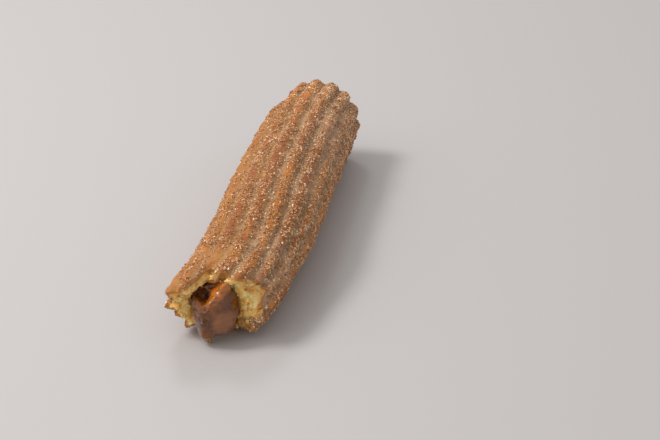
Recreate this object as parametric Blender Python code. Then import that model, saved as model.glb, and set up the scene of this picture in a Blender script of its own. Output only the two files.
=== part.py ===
# Filled churro, the longer piece of one torn in two, lying on its ribs.
#
# Frame: metres, +Z up. The churro runs along Y, its torn end towards -Y and its
# piped end towards +Y. The origin is the middle of its footprint, on the surface
# that it lies on.
#
# Two solids: the fried dough, a ribbed tube with a bore from end to end, and the
# caramel filling, a core that runs through that bore and bulges out of the tear.
#
# Sections are named by how far along they are from the plane of the tear, and
# their points by an angle from +X towards +Z.

import math

import bmesh
import bpy
from mathutils import Vector, noise

MM = 0.001

# Dough: overall sizes
LENGTH = 126 * MM  # from the plane of the tear to the piped end
WIDTH = 33.6 * MM  # across the crests of the ribs
HEIGHT = 30.4 * MM  # before the lowest crests are pressed flat
PRESSED_FLAT = 1.3 * MM  # how much of those crests the flat takes away

# Dough: ribs
RIB_COUNT = 17
RIB_DEPTH = 1.7 * MM
RIB_START = math.radians(64)  # angle of one crest
RIB_DRIFT = 0.03  # how far, in radians, a rib strays sideways
RIB_SWAY = math.radians(10)  # the ribs turn this far round, and part of the way back
RIB_ROUNDNESS = 1.1  # below 1 the ribs are fat and the grooves thin
COLUMNS_PER_RIB = 6
UNEVEN = 0.35 * MM  # slow swelling and pinching of the surface

# Dough: the torn end, bent aside and squashed by the tearing
TEAR_BEND = 4.8 * MM  # swing towards -X
TEAR_BEND_LENGTH = 52 * MM
TEAR_SAG = 0.17  # share of the height that is lost
TEAR_PINCH = 0.055  # share of the width that is lost
TEAR_SAG_LENGTH = 46 * MM

# Dough: the piped end
END_TAPER = 3.4 * MM  # how far it draws in on its -X shoulder
END_TAPER_LENGTH = 26 * MM
END_TAPER_ANGLE = math.radians(168)
END_TAPER_SPREAD = math.radians(45)
END_RIBS_TURN = math.radians(9)  # the ribs on the +X side turn down towards this end
END_RIBS_SPREAD = math.radians(28)
END_ROUND = 1.8 * MM  # radius of the rim
END_DISH = 0.6 * MM  # how far the face sinks round the hole

# Dough: the bore
BORE_RADIUS = 7.6 * MM
MOUTH_PINCH = 0.6 * MM  # the bore is this much narrower at the tear
END_HOLE_RADIUS = 4.6 * MM  # the hole that shows at the piped end
END_HOLE_DEPTH = 5 * MM
BORE_STATIONS = [s * MM for s in (9, 14, 20, 28, 60)]
BORE_STATIONS += [LENGTH - 3 * END_HOLE_DEPTH, LENGTH - END_HOLE_DEPTH]

# Dough: the tear. Each feature is an angle, half its width in degrees, and how far
# the edge reaches out of the tear's plane there; a negative reach is a notch.
CRUST_FEATURES = (
    (147, 19, 7.6 * MM),
    (122, 14, 6.6 * MM),
    (103, 8, -1.6 * MM),
    (190, 14, 3.0 * MM),
    (222, 10, 1.6 * MM),
    (84, 9, 1.4 * MM),
    (62, 11, 3.2 * MM),
    (28, 17, -3.0 * MM),
    (338, 14, 1.0 * MM),
    (314, 9, 1.8 * MM),
    (286, 20, -3.8 * MM),
)
MOUTH_FEATURES = ((60, 15, -1.6 * MM), (175, 38, 1.6 * MM))  # the mouth of the bore
TONGUE_DROOP = 0.2  # slope of the long tongue's crust down from the tube's skin
TONGUE_ANGLE = math.radians(118)
TONGUE_SPREAD = math.radians(26)
TEAR_RAGGED = 0.8 * MM
TEAR_SCALLOP = 1.3 * MM  # each rib's crest stands out of the tear this far
TEAR_FADE = 18 * MM  # sections follow the torn edge over this length
CRUMB_BULGE = 1.2 * MM  # the soft crumb stands out between crust and bore
CRUMB_LUMPS = 1.3 * MM
CRUMB_SHARES = (0, 0.16, 0.36, 0.58, 0.8, 1)  # loops of the torn face, crust to bore

# Filling
GAP = 0.3 * MM  # between the filling and the dough
FILLING_COLUMNS = 32
END_RECESS = 1.2 * MM  # the filling stops this short of the piped end
BULGE_REACH = 7.5 * MM  # how far the filling comes out of the tear
BULGE_RADIUS = 6.7 * MM
BULGE_SAG = 3.4 * MM  # how far its tip hangs below the bore's axis
BULGE_CLEARANCE = 0.5 * MM  # between the drip and the surface below
BULGE_STATIONS = (0.2, 0.4, 0.58, 0.74, 0.87, 0.96)  # as shares of its reach
DRIP_REACH = 1.4 * MM
DRIP_ANGLE = math.radians(248)
DRIP_SPREAD = math.radians(28)
HOLLOW_DEPTH = 5.2 * MM  # the crater in the top of the filling at the tear
HOLLOW_ANGLE = math.radians(122)
HOLLOW_SPREAD = math.radians(36)
RIDGE_HEIGHT = 3.4 * MM  # the smear that climbs from the filling to the torn crust
RIDGE_ANGLE = math.radians(62)
RIDGE_SPREAD = math.radians(16)

# Where the pieces lie; with these two offsets the whole is centred on the origin
AXIS_HEIGHT = HEIGHT / 2 - PRESSED_FLAT
AXIS_OFFSET = 2.1 * MM  # X of the tube's axis where it is straight
TEAR_PLACE = -58.5 * MM  # Y of the plane of the tear


def smooth_step(low, high, value):
    """0 below low, 1 above high, and a smooth rise between them."""
    share = min(1.0, max(0.0, (value - low) / (high - low)))
    return share * share * (3 - 2 * share)


def bump(angle, centre, spread):
    """1 at the centre, falling smoothly to 0 well outside the spread."""
    apart = abs(math.remainder(angle - centre, math.tau))
    return math.exp(-((apart / spread) ** 2))


def ring_noise(angle, cells, seed):
    """Noise that closes on itself round the tube."""
    return noise.noise(Vector((cells * math.cos(angle), cells * math.sin(angle), seed)))


def crest_height(angle, along):
    """1 on a rib's crest and 0 in the groove beside it."""
    drift = RIB_DRIFT * ring_noise(angle, 1, along / (33 * MM))
    turn = END_RIBS_TURN * smooth_step(LENGTH / 2, LENGTH, along) * bump(angle, 0, END_RIBS_SPREAD)
    back = 0.6 * smooth_step(LENGTH - 20 * MM, LENGTH, along)
    turn -= RIB_SWAY * (smooth_step(0, 70 * MM, along) - 0.3 - back)
    phase = RIB_COUNT * (angle - RIB_START + drift + turn) / 2
    return abs(math.cos(phase)) ** RIB_ROUNDNESS


def tear_share(along):
    """1 at the tear, 0 once the tube has its regular section."""
    return 1 - smooth_step(0, TEAR_SAG_LENGTH, along)


def axis_at(along):
    """The middle of the section, as (x, z)."""
    swing = max(0.0, 1 - along / TEAR_BEND_LENGTH) ** 2
    lowered = TEAR_SAG * tear_share(along) * HEIGHT / 2
    return AXIS_OFFSET - TEAR_BEND * swing, AXIS_HEIGHT - lowered


def half_sizes(along):
    """Half the width and half the height over the crests."""
    share = tear_share(along)
    half_width = WIDTH / 2 * (1 - TEAR_PINCH * share)
    half_height = HEIGHT / 2 * (1 - TEAR_SAG * share)
    return half_width, half_height


def surface_point(angle, along, inset=0.0, plain=0.0):
    """A point of the ribbed skin; inset moves it in, and plain fades the ribs out."""
    half_width, half_height = half_sizes(along)
    x_axis, z_axis = axis_at(along)
    ribs = RIB_DEPTH * (1 - crest_height(angle, along) * (1 - plain))
    drawn_in = smooth_step(LENGTH - END_TAPER_LENGTH, LENGTH, along) ** 1.5
    taper = END_TAPER * drawn_in * bump(angle, END_TAPER_ANGLE, END_TAPER_SPREAD)
    swelling = UNEVEN * ring_noise(angle, 1.3, along / (26 * MM))
    droop = TONGUE_DROOP * max(0.0, -along) * bump(angle, TONGUE_ANGLE, TONGUE_SPREAD)
    depth = ribs + taper + inset + droop - swelling
    x = x_axis + (half_width - depth) * math.cos(angle)
    z = z_axis + (half_height - depth) * math.sin(angle)
    return Vector((x, along + TEAR_PLACE, z))


def reach_of(features, angle):
    """How far an edge made of such features stands out of the tear's plane."""
    return sum(
        out * bump(angle, math.radians(centre), math.radians(width))
        for centre, width, out in features
    )


def crust_reach(angle):
    """How far the crust's torn edge stands out of the tear's plane."""
    ragged = TEAR_RAGGED * ring_noise(angle, 4, 7)
    scallop = TEAR_SCALLOP * (crest_height(angle, 0) - 0.5)
    return reach_of(CRUST_FEATURES, angle) + ragged + scallop


def bore_point(angle, along, radius):
    """A point of the round bore, which follows the tube's axis."""
    x_axis, z_axis = axis_at(along)
    x = x_axis + radius * math.cos(angle)
    z = z_axis + radius * math.sin(angle)
    return Vector((x, along + TEAR_PLACE, z))


def bore_radius(along):
    """Narrow where it shows at the piped end, and a little pinched at the tear."""
    pinch = MOUTH_PINCH * (1 - min(1.0, max(0.0, along / BORE_STATIONS[0])))
    narrowing = smooth_step(LENGTH - 3 * END_HOLE_DEPTH, LENGTH - END_HOLE_DEPTH, along)
    return BORE_RADIUS - pinch - (BORE_RADIUS - END_HOLE_RADIUS) * narrowing


def skin_loop(angles, distance):
    """A section of the skin; near the tear it follows the torn edge."""
    follow = 1 - smooth_step(0, TEAR_FADE, distance)
    return [surface_point(a, distance - follow * crust_reach(a)) for a in angles]


def end_rim_loop(angles, turn):
    """A section of the piped end's rounded rim; turn runs from 0 to a right angle."""
    along = LENGTH - END_ROUND * (1 - math.sin(turn))
    inset = END_ROUND * (1 - math.cos(turn))
    return [surface_point(a, along, inset) for a in angles]


def crumb_point(angle, share):
    """A point of the torn face; share runs from 0 at the crust to 1 at the bore."""
    plain = min(1.0, share / CRUMB_SHARES[1])
    edge = surface_point(angle, -crust_reach(angle), 0, plain)
    reach = reach_of(MOUTH_FEATURES, angle)
    mouth = bore_point(angle, -reach, bore_radius(-reach))
    point = edge.lerp(mouth, share)
    lumps = CRUMB_LUMPS * noise.noise(Vector((point.x, 0.013, point.z)) / (4.3 * MM))
    point.y -= (CRUMB_BULGE + lumps) * math.sin(math.pi * share)
    return point


def dough_loops():
    """Every section of the dough, from the piped end's hole round the outside and back."""
    columns = RIB_COUNT * COLUMNS_PER_RIB
    angles = [RIB_START + math.tau * i / columns for i in range(columns)]
    stations = [1, 3.5, 7, 11, 15.5, 20] + [26 + 6.2 * i for i in range(15)]
    stations += [LENGTH / MM - 7.5, LENGTH / MM - 4.5]
    loops = [[bore_point(a, LENGTH - END_DISH, END_HOLE_RADIUS) for a in angles]]
    loops += [end_rim_loop(angles, math.radians(t)) for t in (88, 60, 30, 0)]
    loops += [skin_loop(angles, s * MM) for s in reversed(stations)]
    loops += [[crumb_point(a, share) for a in angles] for share in CRUMB_SHARES]
    for along in BORE_STATIONS:
        loops.append([bore_point(a, along, bore_radius(along)) for a in angles])
    return loops


def filling_limit(angle, along):
    """How far the filling may reach from the axis without entering the dough."""
    x_axis, z_axis = axis_at(0)
    limit = bore_radius(max(0.0, along)) - GAP
    for share in (1, 0.9, 0.8, 0.69, 0.58, 0.47, 0.36):
        crumb = crumb_point(angle, share)
        if along > crumb.y - TEAR_PLACE - 2 * GAP:
            break
        limit = max(limit, math.hypot(crumb.x - x_axis, crumb.z - z_axis) - GAP)
    return limit


def filling_point(angle, along):
    """A point of the filling's side, inside the bore or in the bulge before the tear."""
    inside = bore_radius(max(0.0, along)) - GAP
    if along >= BORE_STATIONS[1]:
        return bore_point(angle, along, inside)
    out = max(0.0, -along / BULGE_REACH)
    hollow = (1 - smooth_step(3 * MM, 14 * MM, along)) * (1 - smooth_step(0, 0.8, out))
    ridge = (1 - smooth_step(0, 5 * MM, along)) * bump(out, 0.32, 0.3)
    radius = inside + (BULGE_RADIUS - inside) * smooth_step(0, 0.4, out)
    radius *= math.sqrt(1 - out ** 2.6)
    radius -= HOLLOW_DEPTH * hollow * bump(angle, HOLLOW_ANGLE, HOLLOW_SPREAD)
    radius += RIDGE_HEIGHT * ridge * bump(angle, RIDGE_ANGLE, RIDGE_SPREAD)
    radius += DRIP_REACH * out * bump(angle, DRIP_ANGLE, DRIP_SPREAD)
    x = radius * math.cos(angle)
    z = radius * math.sin(angle) - BULGE_SAG * smooth_step(0, 1, out)
    held = min(1.0, filling_limit(angle, along) / math.hypot(x, z))
    x_axis, z_axis = axis_at(max(0.0, along))
    z = max(z_axis + held * z, BULGE_CLEARANCE)
    return Vector((x_axis + held * x, along + TEAR_PLACE, z))


def filling_loops():
    """Sections of the filling from its piped end to the tip of its bulge."""
    angles = [math.tau * i / FILLING_COLUMNS for i in range(FILLING_COLUMNS)]
    stations = [LENGTH - END_RECESS, *reversed(BORE_STATIONS)]
    stations += [6 * MM, 3.5 * MM, 1.5 * MM, 0]
    stations += [-BULGE_REACH * share for share in BULGE_STATIONS]
    return [[filling_point(a, s) for a in angles] for s in stations]


def ring_edges(mesh, ring):
    """The edges of a closed ring of vertices."""
    return [mesh.edges.get(pair) for pair in zip(ring, ring[1:] + ring[:1])]


def extrude_loops(mesh, loops):
    """A skin through the loops, made by extruding the first; returns the end rings."""
    made = bmesh.ops.create_circle(mesh, segments=len(loops[0]), radius=1)
    first = ring = made["verts"]
    for vert, point in zip(ring, loops[0]):
        vert.co = point
    for loop in loops[1:]:
        grown = bmesh.ops.extrude_edge_only(mesh, edges=ring_edges(mesh, ring))["geom"]
        new_verts = {item for item in grown if isinstance(item, bmesh.types.BMVert)}
        ring = [
            next(e.other_vert(v) for e in v.link_edges if e.other_vert(v) in new_verts)
            for v in ring
        ]
        for vert, point in zip(ring, loop):
            vert.co = point
    return first, ring


def close_holes(mesh):
    open_edges = [edge for edge in mesh.edges if edge.is_boundary]
    bmesh.ops.holes_fill(mesh, edges=open_edges, sides=0)


def press_flat(mesh):
    """Takes off what lies below the surface that the churro rests on, and closes it."""
    parts = mesh.verts[:] + mesh.edges[:] + mesh.faces[:]
    bmesh.ops.bisect_plane(
        mesh, geom=parts, dist=1e-7, plane_co=(0, 0, 0), plane_no=(0, 0, 1), clear_inner=True
    )
    close_holes(mesh)


def make_object(name, mesh, material):
    """A named object from a bmesh, with its faces turned out and shaded smooth."""
    bmesh.ops.recalc_face_normals(mesh, faces=mesh.faces[:])
    data = bpy.data.meshes.new(name)
    mesh.to_mesh(data)
    mesh.free()
    data.materials.append(material)
    data.shade_smooth()
    data.set_sharp_from_angle(angle=math.radians(50))
    made = bpy.data.objects.new(name, data)
    bpy.context.scene.collection.objects.link(made)
    return made


def make_material(name, colour, roughness):
    """A plain Principled material."""
    material = bpy.data.materials.new(name)
    material.use_nodes = True
    shader = material.node_tree.nodes["Principled BSDF"]
    shader.inputs["Base Color"].default_value = (*colour, 1)
    shader.inputs["Roughness"].default_value = roughness
    shader.inputs["Metallic"].default_value = 0
    return material


def make_dough():
    """The fried dough: a ribbed tube, torn at one end, with a bore right through."""
    mesh = bmesh.new()
    first, last = extrude_loops(mesh, dough_loops())
    bmesh.ops.bridge_loops(mesh, edges=ring_edges(mesh, last) + ring_edges(mesh, first))
    press_flat(mesh)
    return make_object("dough", mesh, make_material("fried_dough", (0.32, 0.15, 0.065), 0.75))


def make_filling():
    """The caramel core, closed at both ends."""
    mesh = bmesh.new()
    extrude_loops(mesh, filling_loops())
    close_holes(mesh)
    return make_object("filling", mesh, make_material("caramel", (0.17, 0.07, 0.028), 0.3))


def clear_scene():
    for old in list(bpy.data.objects):
        bpy.data.objects.remove(old)


clear_scene()
make_dough()
make_filling()
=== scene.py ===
import math

import bmesh
import bpy
import numpy as np
from mathutils import Euler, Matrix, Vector, noise


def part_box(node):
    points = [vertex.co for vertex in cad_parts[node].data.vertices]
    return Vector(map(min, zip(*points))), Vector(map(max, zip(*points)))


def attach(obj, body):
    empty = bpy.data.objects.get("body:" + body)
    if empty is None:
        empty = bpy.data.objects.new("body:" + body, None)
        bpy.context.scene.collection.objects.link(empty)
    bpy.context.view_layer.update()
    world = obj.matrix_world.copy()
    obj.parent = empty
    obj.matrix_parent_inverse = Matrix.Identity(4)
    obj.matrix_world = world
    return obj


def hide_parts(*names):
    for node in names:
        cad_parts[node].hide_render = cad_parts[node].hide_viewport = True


# A torn piece of filled churro. Shapes are worked out in millimetres and made in metres.
# A place on the tube is an angle, from +X towards +Z, and a distance along it from the tear.

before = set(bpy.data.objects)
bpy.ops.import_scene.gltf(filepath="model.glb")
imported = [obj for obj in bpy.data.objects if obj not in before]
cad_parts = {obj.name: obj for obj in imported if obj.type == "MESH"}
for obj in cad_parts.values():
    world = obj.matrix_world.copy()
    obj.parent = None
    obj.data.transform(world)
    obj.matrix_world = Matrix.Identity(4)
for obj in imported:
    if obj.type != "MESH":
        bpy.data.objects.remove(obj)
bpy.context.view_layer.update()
mm = 0.001

doughLow, doughHigh = [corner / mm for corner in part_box("dough")]
fillingLow, fillingHigh = [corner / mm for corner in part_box("filling")]


# ---- small maths -------------------------------------------------------------------

def smoothStep(low, high, value):
    share = min(1.0, max(0.0, (value - low) / (high - low)))
    return share * share * (3 - 2 * share)


def bump(angle, centre, spread):  # 1 at the centre, in degrees like the spread
    apart = abs(math.remainder(angle - math.radians(centre), math.tau))
    return math.exp(-((apart / math.radians(spread)) ** 2))


def ringNoise(angle, cells, seed):
    return noise.noise(Vector((cells * math.cos(angle), cells * math.sin(angle), seed)))


def spotNoise(point, size, seed=0.0):
    return noise.noise(Vector((point[0], point[1], point[2])) / size + Vector((seed, seed, -seed)))


# ---- the tube's shape ----------------------------------------------------------------

tube = {
    "length": 126.0,
    "width": 33.6,
    "height": 30.4,
    "ribs": 17,
    "ribDepth": 1.7,
    "ribsFilled": 0.4,
    "ribStart": 64,
    "ribDrift": 0.03,
    "ribWander": 0.022,
    "ribSway": 10,
    "uneven": 0.35,
    "tearBend": 4.8,
    "tearBendLength": 52,
    "tearSag": 0.17,
    "tearPinch": 0.055,
    "tearSagLength": 46,
    "endTaper": 5.0,
    "endTaperLength": 32,
    "endRibsTurn": 9,
    "endRound": 1.8,
    "endDish": 0.6,
    "bore": 7.6,
    "mouthPinch": 0.6,
    "pinchLength": 9,
    "mouthShift": 1.3,
    "mouthOverlap": 0.5,
    "tongueDroop": 0.2,
    "edgeRound": 0.55,
    "sugarRoom": 0.25,
    "endHole": 4.6,
}
tearY = doughHigh.y - tube["length"]
axisX = doughHigh.x - tube["width"] / 2
axisZ = doughHigh.z - tube["height"] / 2


def ribPhase(angle, along):  # a whole number of pi on each crest
    drift = tube["ribDrift"] * ringNoise(angle, 1, along / 33) + tube["ribWander"] * ringNoise(angle, 4, along / 15)
    late = smoothStep(tube["length"] / 2, tube["length"], along)
    turn = math.radians(tube["endRibsTurn"]) * late * bump(angle, 0, 28)
    back = 0.6 * smoothStep(tube["length"] - 20, tube["length"], along)
    turn -= math.radians(tube["ribSway"]) * (smoothStep(0, 70, along) - 0.3 - back)
    return tube["ribs"] * (angle - math.radians(tube["ribStart"]) + drift + turn) / 2


def crestHeight(angle, along):  # 1 on a rib's crest, 0 in the groove
    sharpness = 1.7 - 0.6 * smoothStep(tube["length"] - 16, tube["length"] - 2, along)
    return abs(math.cos(ribPhase(angle, along))) ** sharpness


def ribNoise(angle, along, size, seed):  # noise that each rib has its own share of
    rib = round(ribPhase(angle, along) / math.pi) % tube["ribs"]
    return noise.noise(Vector((rib * 3.7, along / size, seed)))


def tearShare(along):
    return 1 - smoothStep(0, tube["tearSagLength"], along)


def axisAt(along):
    swing = max(0.0, 1 - along / tube["tearBendLength"]) ** 2
    lowered = tube["tearSag"] * tearShare(along) * tube["height"] / 2
    return axisX - tube["tearBend"] * swing, axisZ - lowered


def skinPoint(angle, along, inset=0.0, plain=0.0):
    share = tearShare(along)
    halfWidth = tube["width"] / 2 * (1 - tube["tearPinch"] * share)
    halfHeight = tube["height"] / 2 * (1 - tube["tearSag"] * share)
    middleX, middleZ = axisAt(along)
    crest = crestHeight(angle, along)
    shallow = 0.4 * ribNoise(angle, along, 13, 7.5) + 0.25 * ribNoise(angle, along, 5, 1.5) - 0.22
    middle = smoothStep(0, 6, along) * (1 - smoothStep(tube["length"] - 8, tube["length"], along))
    crest *= 1 + middle * shallow * crest
    calm = 0.6 * bump(angle, 92, 34) * (1 - smoothStep(2, 24, along))
    crest += calm * (0.65 - crest)
    ribDepth = tube["ribDepth"] - tube["ribsFilled"] * middle
    depth = tube["sugarRoom"] + ribDepth * (1 - crest * (1 - plain)) + inset
    drawnIn = smoothStep(tube["length"] - tube["endTaperLength"], tube["length"], along) ** 1.5
    depth += tube["endTaper"] * drawnIn * bump(angle, 158, 45)
    depth -= tube["uneven"] * ringNoise(angle, 1.3, along / 26)
    depth += tube["tongueDroop"] * max(0.0, -along) * bump(angle, 118, 26)
    x = middleX + (halfWidth - depth) * math.cos(angle)
    z = middleZ + (halfHeight - depth) * math.sin(angle)
    place = (x, along, z)
    lumps = 0.26 * spotNoise(place, 3.1) + 0.16 * spotNoise(place, 1.3, 5) + 0.08 * spotNoise(place, 0.65, 9)
    x += lumps * math.cos(angle)
    z += lumps * math.sin(angle)
    return Vector((x, along + tearY, max(z, 0.0)))


# each feature of the torn edge: angle, half width in degrees, reach out of the tear's plane
crustFeatures = (
    (147, 19, 7.6), (122, 14, 6.6), (103, 8, -1.6), (190, 14, 3.0), (222, 10, 1.6), (84, 9, 1.4),
    (62, 11, 3.2), (28, 17, -3.0), (338, 14, 1.0), (314, 9, 1.8), (286, 20, -3.8),
    (46, 4, -0.9), (33, 4, 0.9), (17, 4, -0.8), (3, 5, 1.3), (352, 4, -1.0),
)
mouthFeatures = ((60, 15, -1.6), (175, 38, 1.6))


def reachOf(features, angle):
    return sum(out * bump(angle, centre, width) for centre, width, out in features)


def crustReach(angle):
    ragged = 0.8 * ringNoise(angle, 4, 7) + 0.5 * ringNoise(angle, 11, 3) + 0.2 * ringNoise(angle, 22, 5)
    return reachOf(crustFeatures, angle) + ragged + 0.5 * (crestHeight(angle, 0) - 0.5)


def boreRadius(along):
    pinch = tube["mouthPinch"] * (1 - min(1.0, max(0.0, along / tube["pinchLength"])))
    narrowing = smoothStep(tube["length"] - 15, tube["length"] - 5, along)
    return tube["bore"] - pinch - (tube["bore"] - tube["endHole"]) * narrowing


def borePoint(angle, along, radius):
    middleX, middleZ = axisAt(along)
    middleX -= tube["mouthShift"] * (1 - smoothStep(0, 14, along))
    return Vector((middleX + radius * math.cos(angle), along + tearY, middleZ + radius * math.sin(angle)))


def crumbPoint(angle, share):
    plain = min(1.0, share / 0.2)
    edge = skinPoint(angle, -crustReach(angle), tube["edgeRound"], plain)
    reach = reachOf(mouthFeatures, angle)
    mouth = borePoint(angle, -reach, boreRadius(-reach) - tube["mouthOverlap"])
    point = edge.lerp(mouth, share)
    place = (point.x, 13, point.z)
    lumps = 1.5 * spotNoise(place, 4.3) + 2.2 * abs(spotNoise(place, 2.9, 4))
    lumps += 0.7 * abs(spotNoise(place, 1.4, 8)) + 0.25 * spotNoise(place, 0.6, 12)
    inner = math.sin(math.pi * min(1.0, share)) ** 0.7
    point.y -= (0.5 + lumps) * inner
    point.x += 1.1 * spotNoise(place, 2.2, 21) * inner
    point.z += 1.1 * spotNoise(place, 2.2, 31) * inner
    return point


# ---- meshes grown ring by ring ---------------------------------------------------------

def ringEdges(bm, ring):
    return [bm.edges.get(pair) for pair in zip(ring, ring[1:] + ring[:1])]


def placeRing(ring, layers, spots):  # spots hold a point and the values of its attributes
    for vert, (point, values) in zip(ring, spots):
        vert.co = Vector(point) * mm
        for layer, value in zip(layers, values):
            vert[layer] = value


def growTube(bm, layers, rings):
    ring = bmesh.ops.create_circle(bm, segments=len(rings[0]), radius=1)["verts"]
    first = ring
    placeRing(ring, layers, rings[0])
    for spots in rings[1:]:
        grown = bmesh.ops.extrude_edge_only(bm, edges=ringEdges(bm, ring))["geom"]
        fresh = {item for item in grown if isinstance(item, bmesh.types.BMVert)}
        ring = [next(e.other_vert(v) for e in v.link_edges if e.other_vert(v) in fresh) for v in ring]
        placeRing(ring, layers, spots)
    return first, ring


def finishPiece(name, bm, materials, nodes):
    mesh = bpy.data.meshes.new(name)
    bm.to_mesh(mesh)
    bm.free()
    for material in materials:
        mesh.materials.append(material)
    mesh.shade_smooth()
    piece = bpy.data.objects.new(name, mesh)
    bpy.context.scene.collection.objects.link(piece)
    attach(piece, "root")
    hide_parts(*nodes)
    return piece


# ---- materials ---------------------------------------------------------------------------

class Wire:  # a node's output that can be added, multiplied and so on
    def __init__(self, shade, socket):
        self.shade, self.socket = shade, socket

    def maths(self, operation, first, second):
        return self.shade.node("ShaderNodeMath", {"operation": operation}, {0: first, 1: second})

    def __add__(self, other):
        return self.maths("ADD", self, other)

    def __sub__(self, other):
        return self.maths("SUBTRACT", self, other)

    def __rsub__(self, other):
        return self.maths("SUBTRACT", other, self)

    def __mul__(self, other):
        return self.maths("MULTIPLY", self, other)

    def __truediv__(self, other):
        return self.maths("DIVIDE", self, other)

    def __pow__(self, other):
        return self.maths("POWER", self, other)

    __radd__ = __add__
    __rmul__ = __mul__


class Shade:
    def __init__(self, name):
        self.material = bpy.data.materials.new(name)
        self.material.use_nodes = True
        self.tree = self.material.node_tree
        self.principled = self.tree.nodes["Principled BSDF"]
        self.place = self.node("ShaderNodeTexCoord", out="Object")

    def node(self, kind, settings=None, values=None, out=0):
        made = self.tree.nodes.new(kind)
        for key, value in (settings or {}).items():
            if key == "stops":
                self.fillRamp(made.color_ramp, value)
            else:
                setattr(made, key, value)
        for key, value in (values or {}).items():
            self.feed(made.inputs[key], value)
        return Wire(self, made.outputs[out])

    def feed(self, socket, value):
        if isinstance(value, Wire):
            self.tree.links.new(value.socket, socket)
        elif hasattr(socket.default_value, "__len__") and len(value) == 3 and socket.type == "RGBA":
            socket.default_value = (*value, 1)
        else:
            socket.default_value = value

    def fillRamp(self, ramp, stops):
        while len(ramp.elements) < len(stops):
            ramp.elements.new(0.5)
        for element, (position, colour) in zip(ramp.elements, stops):
            element.position = position
            element.color = (*colour, 1) if hasattr(colour, "__len__") else (colour, colour, colour, 1)

    def surface(self, **values):  # sockets of the Principled shader, by name with _ for a space
        for key, value in values.items():
            self.feed(self.principled.inputs[key.replace("_", " ")], value)

    def attribute(self, name):
        return self.node("ShaderNodeAttribute", {"attribute_name": name}, out="Fac")

    def noise(self, size, detail=2.0, rough=0.5, seed=0.0):  # size in mm
        moved = self.node("ShaderNodeVectorMath", {"operation": "ADD"}, {0: self.place, 1: (seed, seed, seed)})
        return self.node("ShaderNodeTexNoise", None,
                         {"Vector": moved, "Scale": 1 / (size * mm), "Detail": detail, "Roughness": rough})

    def between(self, value, low, high):  # 0 below low, 1 above high
        return self.node("ShaderNodeMapRange", {"interpolation_type": "SMOOTHSTEP"},
                         {"Value": value, "From Min": low, "From Max": high})

    def blend(self, factor, first, second, mode="MIX"):
        return self.node("ShaderNodeMix", {"data_type": "RGBA", "blend_type": mode},
                         {0: factor, 6: first, 7: second}, out=2)

    def relief(self, height, distance, strength=1.0):
        return self.node("ShaderNodeBump", None,
                         {"Height": height, "Distance": distance * mm, "Strength": strength})


def rgb(red, green, blue):  # sRGB numbers from 0 to 255, as linear light
    return tuple(c / 12.92 if c <= 0.04045 else ((c + 0.055) / 1.055) ** 2.4
                 for c in (red / 255, green / 255, blue / 255))


crust = {
    "crest": rgb(196, 122, 54),
    "crestRed": rgb(158, 90, 46),
    "crestDark": rgb(112, 64, 28),
    "grooveWarm": rgb(174, 120, 60),
    "grooveCool": rgb(170, 130, 92),
    "grooveDark": rgb(136, 94, 54),
    "powder": rgb(192, 156, 122),
    "frost": rgb(190, 154, 128),
    "golden": rgb(178, 124, 46),
    "glaze": rgb(176, 104, 46),
    "torn": rgb(196, 132, 60),
}


def crustMaterial():
    s = Shade("sugaredCrust")
    crest = s.attribute("crest")
    bare = s.attribute("bare")
    powder = s.attribute("powder")
    broad = s.noise(7, 3)
    blotch = s.noise(2.2, 3, seed=3)
    speck = s.noise(0.55, 2, 0.6, seed=9)
    grain = s.noise(0.32, 1, 0.5, seed=4)
    tone = s.attribute("tone")
    crestColour = s.blend(s.between(tone + 0.7 * (blotch - 0.5), 0.2, 0.85), crust["crestRed"], crust["crest"])
    grooveColour = s.blend(s.attribute("cool"), crust["grooveWarm"], crust["grooveCool"])
    grooveColour = s.blend(s.between(broad + 0.5 * (blotch - 0.5), 0.5, 0.75), grooveColour, crust["grooveDark"])
    high = s.between(crest + 0.6 * (blotch - 0.5) + 0.3 * (speck - 0.5), 0.42, 0.85)
    colour = s.blend(high, grooveColour, crestColour)
    dusted = s.between(powder * 1.0 + 0.9 * (speck - 0.5) + 0.5 * (blotch - 0.5), 0.35, 0.75)
    colour = s.blend(dusted * (0.3 + 0.4 * s.attribute("cool")), colour, crust["powder"])
    frosted = s.between(s.attribute("frost") + 0.9 * (speck - 0.5) + 0.6 * (blotch - 0.5), 0.3, 0.9)
    colour = s.blend(frosted * 0.6, colour, crust["frost"])
    colour = s.blend(s.between(speck, 0.55, 0.72) * 0.55 * (1 - bare), colour, crust["crestDark"])
    colour = s.blend(s.between(grain, 0.60, 0.74) * 0.3 * (1 - bare), colour, crust["powder"])
    golden = s.blend(s.between(blotch, 0.3, 0.7), crust["glaze"], crust["golden"])
    colour = s.blend(bare * 0.85, colour, golden)
    edge = s.attribute("crumb")
    colour = s.blend(s.between(edge, 0.0, 0.1), colour, crust["torn"])
    rough = 0.75 - 0.35 * bare
    height = (speck * 0.6 + grain * 0.5) * (1 - 0.7 * bare) + blotch * 0.8
    s.surface(Base_Color=colour, Roughness=rough, Normal=s.relief(height, 0.35), Specular_IOR_Level=0.35)
    return s.material


crumb = {
    "pale": rgb(255, 226, 152),
    "yellow": rgb(255, 194, 96),
    # deep: a darker crumb colour, used for random flecks and for painted shade
    "deep": rgb(150, 98, 44),
    "toasted": rgb(198, 122, 54),
}


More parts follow.
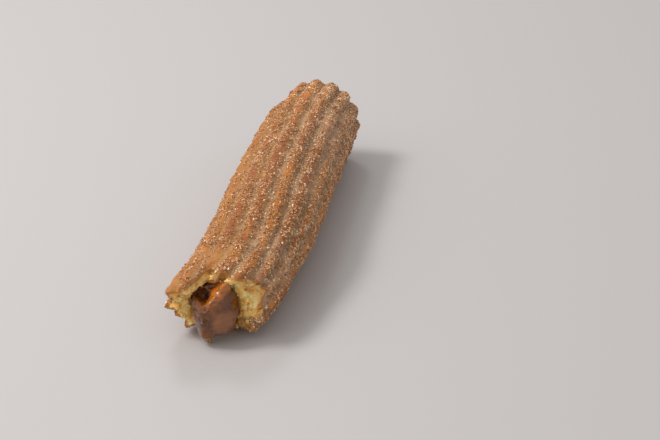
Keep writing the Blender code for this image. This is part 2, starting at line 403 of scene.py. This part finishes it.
def crumbMaterial():
    s = Shade("tornCrumb")
    inner = s.attribute("crumb")
    clump = s.noise(2.4, 4, 0.6)
    fine = s.noise(0.7, 3, 0.6, seed=5)
    pores = s.node("ShaderNodeTexVoronoi", {"feature": "F1"}, {"Vector": s.place, "Scale": 1 / (0.9 * mm)})
    colour = s.blend(s.between(clump, 0.35, 0.65), crumb["yellow"], crumb["pale"])
    colour = s.blend(s.between(fine, 0.58, 0.75) * 0.5, colour, crumb["deep"])
    colour = s.blend(1 - s.between(inner + 0.9 * (clump - 0.5), 0.0, 0.45), colour, crumb["toasted"])
    # painted shade: the deep colour darkens the crumb under the arch at the top and at the lower right; further in,
    # next to the filling, it stands for soaked crumb
    soaked = s.attribute("soaked")
    colour = s.blend(s.between(soaked + 0.5 * (clump - 0.5), 0.35, 0.8) * 0.85, colour, crumb["deep"])
    height = 0.7 * fine + 0.4 * s.between(pores, 0.1, 0.5) + clump
    s.surface(Base_Color=colour, Roughness=0.55, Normal=s.relief(height, 0.3), Specular_IOR_Level=0.4,
              Subsurface_Weight=0.5, Subsurface_Radius=(1.0, 0.7, 0.4), Subsurface_Scale=0.9 * mm)
    return s.material


caramel = {
    "brown": rgb(142, 76, 8),
    "milky": rgb(142, 86, 40),
    "dark": rgb(88, 42, 2),
    "rusty": rgb(184, 106, 34),
}


def caramelMaterial():
    s = Shade("caramelFilling")
    swirl = s.noise(4.5, 3, 0.55)
    fine = s.noise(0.9, 2, 0.5, seed=7)
    milky = s.attribute("milky")
    colour = s.blend(s.between(swirl, 0.3, 0.7), caramel["dark"], caramel["brown"])
    colour = s.blend(s.between(milky + 0.35 * (swirl - 0.5), 0.2, 0.8), colour, caramel["milky"])
    colour = s.blend(s.between(s.attribute("rusty") + 0.5 * (swirl - 0.5), 0.2, 0.8), colour, caramel["rusty"])
    drawn = s.node("ShaderNodeMapping", None, {"Vector": s.place, "Rotation": (0, math.radians(-57), 0),
                                               "Scale": (0.22, 0.6, 1)})
    streaks = s.node("ShaderNodeTexNoise", None, {"Vector": drawn, "Scale": 1 / (0.8 * mm), "Detail": 2})
    s.surface(Base_Color=s.blend(s.between(streaks, 0.45, 0.7) * (0.5 - 0.4 * milky), colour, caramel["dark"]),
              Roughness=0.08 + 0.08 * fine,
              Normal=s.relief(swirl + 0.3 * fine + (0.9 - 0.8 * milky) * streaks, 0.35),
              Specular_IOR_Level=0.25, Coat_Weight=1.0, Coat_Roughness=0.04,
              Subsurface_Weight=0.25, Subsurface_Radius=(1.0, 0.4, 0.15), Subsurface_Scale=1.5 * mm)
    return s.material


def sugarMaterial(name, pale, deep, roughness, clear):
    s = Shade(name)
    tint = s.attribute("tint")
    s.surface(Base_Color=s.blend(tint, deep, pale), Roughness=roughness, Specular_IOR_Level=0.5,
              Subsurface_Weight=clear, Subsurface_Radius=(1.0, 0.8, 0.6), Subsurface_Scale=0.3 * mm)
    return s.material


# ---- dough ---------------------------------------------------------------------------------

doughDetail = {
    "columnsPerRib": 20,
    "skinSpacing": 0.62,
    "edgeSpacing": 0.36,
    "edgeZone": 12,
    "tearFade": 18,
    "crumbRings": 18,
}


def skinValues(angle, along, crumbShare=0.0):
    crest = crestHeight(angle, along)
    place = (10 * math.cos(angle), along, 10 * math.sin(angle))
    patch = spotNoise(place, 9, 2) + 0.5 * spotNoise(place, 3.5, 6)
    left = bump(angle, 145, 19) * smoothStep(24, 40, along) * (1 - smoothStep(98, 112, along))
    left += bump(angle, 145, 16) * (1 - smoothStep(-2, 6, along))
    golden = bump(angle, 100, 19) * math.exp(-(((along - 5) / 9) ** 2)) * (0.75 + 0.8 * patch)
    glazed = bump(angle, 134, 12) * math.exp(-(((along + 6) / 3.2) ** 2))
    bare = min(1.0, 0.85 * left + golden + glazed + smoothStep(0.25, 0.6, patch - 0.2) * 0.5)
    frost = bump(angle, 32, 44) * (0.45 + 0.55 * smoothStep(55, 95, along)) + 0.3 * patch
    frost += 0.8 * bump(angle, 20, 18) * math.exp(-(((along - 6) / 14) ** 2))
    frost += 0.5 * bump(angle, 22, 36) * smoothStep(86, 108, along)
    powder = (1 - crest) * 0.6 + 0.45 * patch
    tone = 0.45 + 1.1 * ribNoise(angle, along, 38, 2.5) + 0.35 * patch
    tone -= 0.4 * smoothStep(tube["length"] - 12, tube["length"] - 3, along)
    cool = 1 - smoothStep(60, 118, math.degrees(angle % math.tau) if angle % math.tau < 4 else 0)
    return (crest, crumbShare, min(1.0, max(0.0, bare)), min(1.0, max(0.0, powder)), 0.0,
            min(1.0, max(0.0, tone)), cool, min(1.0, max(0.0, frost)))


def doughRings(angles):
    length = tube["length"]
    rings = []
    for share in np.linspace(0, 1, 7):  # the piped end's face, from the hole out to the rim
        ring = []
        for a in angles:
            hole = borePoint(a, length - tube["endDish"], tube["endHole"])
            rim = skinPoint(a, length, tube["endRound"], 0.0)
            point = hole.lerp(rim, share)
            point.y += 0.35 * math.sin(math.pi * share) + 0.25 * spotNoise(point, 2.0) + 0.12 * spotNoise(point, 0.9)
            ring.append((point, skinValues(a, length)))
        rings.append(ring)
    for turn in (70, 45, 20, 0):
        along = length - tube["endRound"] * (1 - math.sin(math.radians(turn)))
        inset = tube["endRound"] * (1 - math.cos(math.radians(turn)))
        rings.append([(skinPoint(a, along, inset), skinValues(a, along)) for a in angles])
    stations = list(np.arange(0.25, doughDetail["edgeZone"], doughDetail["edgeSpacing"]))
    stations += list(np.arange(doughDetail["edgeZone"], length - tube["endRound"] - 0.3, doughDetail["skinSpacing"]))
    for distance in reversed(stations):
        follow = 1 - smoothStep(0, doughDetail["tearFade"], distance)
        ring = []
        for a in angles:
            along = distance - follow * crustReach(a)
            rounded = tube["edgeRound"] * max(0.0, 1 - distance / 1.1) ** 2
            ring.append((skinPoint(a, along, rounded), skinValues(a, along)))
        rings.append(ring)
    count = doughDetail["crumbRings"]
    for step in range(count + 1):
        share = (step / count) ** 1.15
        ring = []
        for a in angles:
            crest, _, bare, powder, _, tone, cool, frost = skinValues(a, -crustReach(a))
            # soaked crumb further in next to the filling; painted shade under the arch at the top and at the lower
            # right
            soaked = max(smoothStep(0.62, 1.0, share), 0.9 * bump(a, 88, 26), 0.8 * bump(a, 318, 34))
            frost = max(frost, 0.95 * bump(a, 335, 26)) if share < 0.4 else 0
            values = (crest, min(1.0, share / 0.5), bare, powder, soaked, tone, cool, frost)
            ring.append((crumbPoint(a, share), values))
        rings.append(ring)
    for along in (9, 14, 20, 28, 60, length - 15, length - 5):
        values = (0, 1, 0, 0, 1, 0.5, 0.5, 0)
        rings.append([(borePoint(a, along, boreRadius(along)), values) for a in angles])
    return rings


def makeDough(crustLook, crumbLook):
    columns = tube["ribs"] * doughDetail["columnsPerRib"]
    angles = [math.radians(tube["ribStart"]) + math.tau * i / columns for i in range(columns)]
    bm = bmesh.new()
    names = ("crest", "crumb", "bare", "powder", "soaked", "tone", "cool", "frost")
    layers = [bm.verts.layers.float.new(n) for n in names]
    first, last = growTube(bm, layers, doughRings(angles))
    bmesh.ops.bridge_loops(bm, edges=ringEdges(bm, last) + ringEdges(bm, first))
    bmesh.ops.recalc_face_normals(bm, faces=bm.faces[:])
    crumbLayer = layers[1]
    for face in bm.faces:
        face.material_index = 1 if min(v[crumbLayer] for v in face.verts) >= 0.1 else 0
    return finishPiece("dough_torn_tube", bm, [crustLook, crumbLook], ["dough"])


dough = makeDough(crustMaterial(), crumbMaterial())
print("dough:", len(dough.data.polygons), "faces")


# ---- filling -------------------------------------------------------------------------------

filling = {
    "columns": 144,
    "reach": 7.5,
    "radius": 6.7,
    "sag": 3.4,
    "clearance": 0.5,
    "hollowDepth": 0.6,
    "hollowAngle": 112,
    "ridgeHeight": 3.4,
    "ridgeAngle": 62,
    "drip": 3.4,
    "dripAngle": 248,
    "dripTip": (-2.9, -5.0),
    "slump": 1.8,
}


# the crater in its front, and folds from one place to another with a width and a height;
# places are beside and above the tube's axis, the tear's plane lying at the third number
crater = {"place": (-2.8, 2.5, 2.0), "aim": (0.207, 0.515, 0.834), "radius": 1.8, "depth": 4.2,
          "lip": 0.9}
folds = (
    ((-0.4, 2.4), (5.6, 10.2), 1.15, 1.0),
    ((2.2, 2.6), (4.4, -0.4), 0.8, 0.5),
    ((4.2, -3.8), (3.2, -5.2), 2.9, 1.3),
    ((-3.0, -3.6), (-2.2, -8.2), 1.5, 0.9),
    ((-5.2, -1.6), (-4.6, -5.8), 0.7, 0.45),
    ((0.6, -1.4), (1.0, -6.0), 0.9, -0.25),
    ((-4.6, -0.8), (-0.2, -2.2), 0.5, 0.5),
    ((-2.2, -3.0), (-0.4, -3.8), 0.55, 1.0),
    ((-2.9, -0.4), (-1.2, 0.0), 0.6, 0.8),
    ((-1.2, 0.0), (-0.1, 1.8), 0.6, 0.9),
    ((-1.2, 4.6), (0.6, 6.0), 1.1, -1.2),
    ((2.6, 4.6), (5.0, 2.0), 0.6, 0.6),
    ((-2.4, -5.4), (1.6, -6.6), 0.5, 0.35),
)


def offLine(place, start, end):  # how far a place is from the line between two others
    away, run = Vector(place) - Vector(start), Vector(end) - Vector(start)
    share = min(1.0, max(0.0, away.dot(run) / run.length_squared))
    return (away - share * run).length


def relief(x, z, out):  # how far the filling's front is pushed out at this place
    pushed = 0
    for start, end, width, height in folds:
        pushed += height * math.exp(-((offLine((x, z), start, end) / width) ** 2))
    aim = Vector(crater["aim"])
    apart = (Vector((x, z, out)) - Vector(crater["place"])).cross(aim).length
    apart *= 1 + 0.4 * spotNoise((x, out, z), 2.4, 17)
    pushed -= crater["depth"] * math.exp(-((apart / crater["radius"]) ** 4))
    pushed += crater["lip"] * math.exp(-(((apart - 1.45 * crater["radius"]) / 0.9) ** 2))
    return pushed


def fillingPoint(angle, along):
    gap = 0.05
    inside = boreRadius(max(0.0, along)) - gap
    if along > 26:
        return borePoint(angle, along, inside), (0, 0)
    out = max(0.0, -along / filling["reach"])
    hollow = (1 - smoothStep(3, 14, along)) * (1 - smoothStep(0, 0.6, out))
    ridge = (1 - smoothStep(0, 5, along)) * math.exp(-(((out - 0.32) / 0.3) ** 2))
    radius = inside + (filling["radius"] - inside) * smoothStep(0, 0.4, out)
    radius *= math.sqrt(max(0.0, 1 - out ** 2.6))
    radius -= filling["hollowDepth"] * hollow * bump(angle, filling["hollowAngle"], 30)
    radius += filling["ridgeHeight"] * ridge * bump(angle, filling["ridgeAngle"], 14)
    radius += filling["drip"] * out * bump(angle, filling["dripAngle"], 24)
    radius += filling["slump"] * math.exp(-(((out - 0.5) / 0.35) ** 2)) * bump(angle, 318, 36)
    x = radius * math.cos(angle)
    z = radius * math.sin(angle) - filling["sag"] * smoothStep(0, 1, out)
    middleX, middleZ = axisAt(max(0.0, along))
    middleX -= tube["mouthShift"] * (1 - smoothStep(0, 14, along))
    place = (x, along, z)
    streak = (place[0] * 0.5 + place[2], along * 2.2, place[2] * 0.4)
    wrinkles = 0.6 * spotNoise(place, 3.6, 11) + 0.45 * spotNoise(streak, 1.9, 14) + 0.18 * spotNoise(streak, 0.9, 3)
    front = 1 - smoothStep(0, 20, along)
    x += front * wrinkles * math.cos(angle)
    z += front * wrinkles * math.sin(angle)
    pushed = relief(x, z, -along) * (1 - smoothStep(-1.5, 3, along))
    aimX, aimZ, aimOut = crater["aim"]
    milky = math.exp(-((math.hypot(x - 4.2, z + 3.2) / 3.6) ** 2)) * smoothStep(0.1, 0.4, out)
    x += pushed * aimX
    z += pushed * aimZ * (1 if pushed < 0 else 0.5)
    point = Vector((middleX + x, along - pushed * aimOut + tearY, max(middleZ + z, filling["clearance"])))
    rusty = math.exp(-((offLine((x, z), (0.4, 3.2), (6.6, 10.4)) / 2.2) ** 2))
    sunk = (Vector(place[::2]) - Vector(crater["place"][:2])).length
    rusty = max(rusty, 0.45 * math.exp(-((sunk / 2.2) ** 4)))
    return point, (milky, rusty)


def makeFilling(look):
    angles = [math.tau * i / filling["columns"] for i in range(filling["columns"])]
    bm = bmesh.new()
    layers = [bm.verts.layers.float.new(n) for n in ("milky", "rusty")]
    stations = [tube["length"] - 1.2, tube["length"] - 5, tube["length"] - 15, 60, 40, 28]
    stations += list(np.arange(20, 0, -0.5))
    stations += [-filling["reach"] * math.sin(math.radians(t)) for t in np.arange(0, 89, 1.6)]
    rings = [[fillingPoint(a, s) for a in angles] for s in stations]
    growTube(bm, layers, rings)
    bmesh.ops.holes_fill(bm, edges=[e for e in bm.edges if e.is_boundary], sides=0)
    bmesh.ops.recalc_face_normals(bm, faces=bm.faces[:])
    return finishPiece("caramel_filling", bm, [look], ["filling"])


core = makeFilling(caramelMaterial())
print("filling:", len(core.data.polygons), "faces")


# ---- crumbs --------------------------------------------------------------------------------

crumbKinds = {
    "crumb_lumps": {"count": 60, "size": (0.3, 1.15), "fineness": 3, "seed": 21, "lift": -0.1, "atDrip": 1},
    "crumb_specks": {"count": 260, "size": (0.1, 0.3), "fineness": 2, "seed": 22, "lift": 0.1, "atDrip": 9},
}


def makeCrumbs(name, kind, look):  # rounded lumps over the torn face
    rng = np.random.default_rng(kind["seed"])
    bm = bmesh.new()
    names = ("crumb", "soaked")
    layers = [bm.verts.layers.float.new(n) for n in names]
    low, high = kind["size"]
    for i in range(kind["count"]):
        angle = rng.random() * math.tau
        share = 0.08 + 0.84 * rng.random()
        size = low + (high - low) * rng.random() ** 2.2
        middle = crumbPoint(angle, share) + Vector((0, -kind["lift"] * size, 0))
        if i < kind["atDrip"]:  # a few stick to the tip of the filling's drip
            dripX, dripY = filling["dripTip"]
            middle = Vector((axisAt(0)[0] + dripX, tearY + dripY, 0.8)) + Vector(rng.normal(0, 0.5, 3))
        middle.z = max(middle.z, size)
        stretch = Vector(rng.uniform(0.7, 1.3, 3))
        made = bmesh.ops.create_icosphere(bm, subdivisions=kind["fineness"], radius=1)["verts"]
        inner = rng.random()
        for vert in made:
            rough = 1 + 0.7 * noise.noise(vert.co * 1.3 + Vector((i, 0, 0)))
            rough += 0.45 * noise.noise(vert.co * 2.7 + Vector((0, i, 0)))
            vert.co = (middle + vert.co * stretch * rough * size) * mm
            vert.co.z = max(vert.co.z, 0)
            vert[layers[0]] = 0.05 + 0.6 * inner
            # the drip's crumb and crumbs lying deep in towards the bore are darker
            vert[layers[1]] = 0.7 if i < kind["atDrip"] else 0.6 * smoothStep(0.7, 1, share) * inner
    return finishPiece(name, bm, [look], ["dough"])


for kindName, kind in crumbKinds.items():
    crumbs = makeCrumbs(kindName, kind, dough.data.materials[1])
    print(kindName, len(crumbs.data.polygons), "faces")


# ---- sugar ---------------------------------------------------------------------------------

sugarKinds = {
    "sugar_amber": {"count": 16000, "size": (0.24, 0.5), "seed": 11, "crest": 1.0, "groove": 0.15, "frost": -0.3, "onCrumb": False,
                    "pale": rgb(226, 164, 100), "deep": rgb(138, 80, 36), "roughness": 0.3, "clear": 0.15},
    "sugar_white": {"count": 9000, "size": (0.2, 0.44), "seed": 12, "crest": 0.8, "groove": 0.5, "frost": 1.2, "onCrumb": True,
                    "pale": rgb(250, 220, 184), "deep": rgb(218, 164, 112), "roughness": 0.2, "clear": 0.2},
    "sugar_fine": {"count": 48000, "size": (0.18, 0.4), "seed": 13, "crest": 0.35, "groove": 1.0, "frost": 2.0, "onCrumb": False,
                   "pale": rgb(212, 174, 136), "deep": rgb(126, 84, 48), "roughness": 0.45, "clear": 0.1,
                   "chips": True},
}


def crystalShape(chips):  # one sugar crystal, a block or a chip, as corners and triangles
    bm = bmesh.new()
    if chips:
        bmesh.ops.create_cone(bm, segments=3, radius1=0.6, radius2=0, depth=0.8, cap_ends=True)
    else:
        bmesh.ops.create_cube(bm, size=1)
    bmesh.ops.remove_doubles(bm, verts=bm.verts[:], dist=0.001)
    bmesh.ops.triangulate(bm, faces=bm.faces[:])
    bm.verts.index_update()
    corners = np.array([v.co for v in bm.verts])
    triangles = np.array([[v.index for v in f.verts] for f in bm.faces])
    bm.free()
    return corners, triangles


def hostSpots(host, weights, count, rng):  # random points on the host's skin, with their normals
    mesh = host.data
    mesh.calc_loop_triangles()
    corners = np.zeros(len(mesh.loop_triangles) * 3, np.int32)
    mesh.loop_triangles.foreach_get("vertices", corners)
    corners = corners.reshape(-1, 3)
    points = np.zeros(len(mesh.vertices) * 3)
    mesh.vertices.foreach_get("co", points)
    points = points.reshape(-1, 3)
    normals = np.zeros(len(mesh.vertices) * 3)
    mesh.vertices.foreach_get("normal", normals)
    normals = normals.reshape(-1, 3)
    edgeA = points[corners[:, 1]] - points[corners[:, 0]]
    edgeB = points[corners[:, 2]] - points[corners[:, 0]]
    area = np.linalg.norm(np.cross(edgeA, edgeB), axis=1)
    chance = area * weights[corners].mean(1)
    picked = rng.choice(len(corners), count, p=chance / chance.sum())
    share = rng.random((count, 2))
    flip = share.sum(1) > 1
    share[flip] = 1 - share[flip]
    where = points[corners[picked, 0]] + share[:, :1] * edgeA[picked] + share[:, 1:] * edgeB[picked]
    return where, normals[corners[picked, 0]]


def readLayer(mesh, name):
    values = np.zeros(len(mesh.vertices))
    mesh.attributes[name].data.foreach_get("value", values)
    return values


def scatterSugar(name, kind, host):
    rng = np.random.default_rng(kind["seed"])
    mesh = host.data
    crest, crumbShare, bare, frost = (readLayer(mesh, n) for n in ("crest", "crumb", "bare", "frost"))
    points = np.zeros(len(mesh.vertices) * 3)
    mesh.vertices.foreach_get("co", points)
    points = points.reshape(-1, 3)
    weights = kind["groove"] + (kind["crest"] - kind["groove"]) * np.clip((crest - 0.15) / 0.5, 0, 1)
    weights = weights * (1 - 0.96 * bare) * (points[:, 2] > 0.0004)
    weights = weights * ((crumbShare < 0.25) | ((frost > 0.6) & kind["onCrumb"]))
    weights = weights * (1 + kind["frost"] * frost)
    clumps = np.array([spotNoise(p / mm, 2.6, kind["seed"]) + 0.6 * spotNoise(p / mm, 6, 40) for p in points])
    weights = weights * np.clip(0.45 + 1.2 * clumps, 0.02, 1.5)
    where, normals = hostSpots(host, weights, kind["count"], rng)
    corners, triangles = crystalShape(kind.get("chips", False))
    low, high = kind["size"]
    sizes = low + (high - low) * rng.random(kind["count"]) ** 2
    blocks = []
    for spot, normal, size in zip(where, normals, sizes):
        turn = np.array(Euler(rng.random(3) * math.tau).to_matrix())
        shape = corners * rng.uniform(0.7, 1.25, 3) + rng.uniform(-0.12, 0.12, corners.shape)
        blocks.append(spot + normal * size * 0.12 * mm + shape @ turn.T * size * mm)
    allPoints = np.concatenate(blocks)
    allPoints[:, 2] = np.maximum(allPoints[:, 2], 0)
    allTriangles = (triangles[None] + np.arange(kind["count"])[:, None, None] * len(corners)).reshape(-1, 3)
    data = bpy.data.meshes.new(name)
    data.from_pydata(allPoints.tolist(), [], allTriangles.tolist())
    tint = data.attributes.new("tint", "FLOAT", "POINT")
    tint.data.foreach_set("value", np.repeat(rng.random(kind["count"]), len(corners)))
    data.materials.append(sugarMaterial(name, kind["pale"], kind["deep"], kind["roughness"], kind["clear"]))
    piece = bpy.data.objects.new(name, data)
    bpy.context.scene.collection.objects.link(piece)
    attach(piece, "root")
    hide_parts("dough")
    return piece


for kindName, kind in sugarKinds.items():
    sugar = scatterSugar(kindName, kind, dough)
    print(kindName, len(sugar.data.polygons), "faces")


# ---- floor, light and camera -----------------------------------------------------------------

def makeFloor():
    bm = bmesh.new()
    bmesh.ops.create_grid(bm, x_segments=1, y_segments=1, size=3)
    mesh = bpy.data.meshes.new("floor")
    bm.to_mesh(mesh)
    bm.free()
    s = Shade("paleFloor")
    s.surface(Base_Color=rgb(190, 185, 183), Roughness=0.5)
    mesh.materials.append(s.material)
    floor = bpy.data.objects.new("floor", mesh)
    bpy.context.scene.collection.objects.link(floor)


def softLight(name, place, aim, size, power, colour=(1, 1, 1)):
    light = bpy.data.lights.new(name, "AREA")
    light.shape = "DISK"
    light.size = size
    light.energy = power
    light.color = colour
    holder = bpy.data.objects.new(name, light)
    holder.location = place
    holder.rotation_euler = (Vector(aim) - Vector(place)).to_track_quat("-Z", "Y").to_euler()
    bpy.context.scene.collection.objects.link(holder)


def makeCamera():
    camera = bpy.data.cameras.new("camera")
    camera.lens = 92.73
    camera.sensor_width = 36
    camera.clip_start = 0.01
    holder = bpy.data.objects.new("camera", camera)
    holder.location = (axisX * mm + 0.1027, tearY * mm - 0.4146, 0.2704)
    holder.rotation_euler = (math.radians(90 - 28.5), 0, math.radians(10.19))
    bpy.context.scene.collection.objects.link(holder)
    bpy.context.scene.camera = holder


makeFloor()
softLight("windowLight", (-0.75, -0.35, 0.85), (0, 0, 0), 1.2, 2.8)
softLight("backLight", (-0.35, 0.85, 0.9), (0, 0, 0), 0.3, 1.6)
softLight("keyLight", (-0.65, -0.05, 0.85), (0, 0, 0), 0.28, 6)
world = bpy.data.worlds.new("studio")
world.use_nodes = True
world.node_tree.nodes["Background"].inputs["Color"].default_value = (1, 1, 1, 1)
world.node_tree.nodes["Background"].inputs["Strength"].default_value = 0.58
bpy.context.scene.world = world
bpy.context.scene.view_settings.view_transform = "Standard"
makeCamera()
print("stage set")
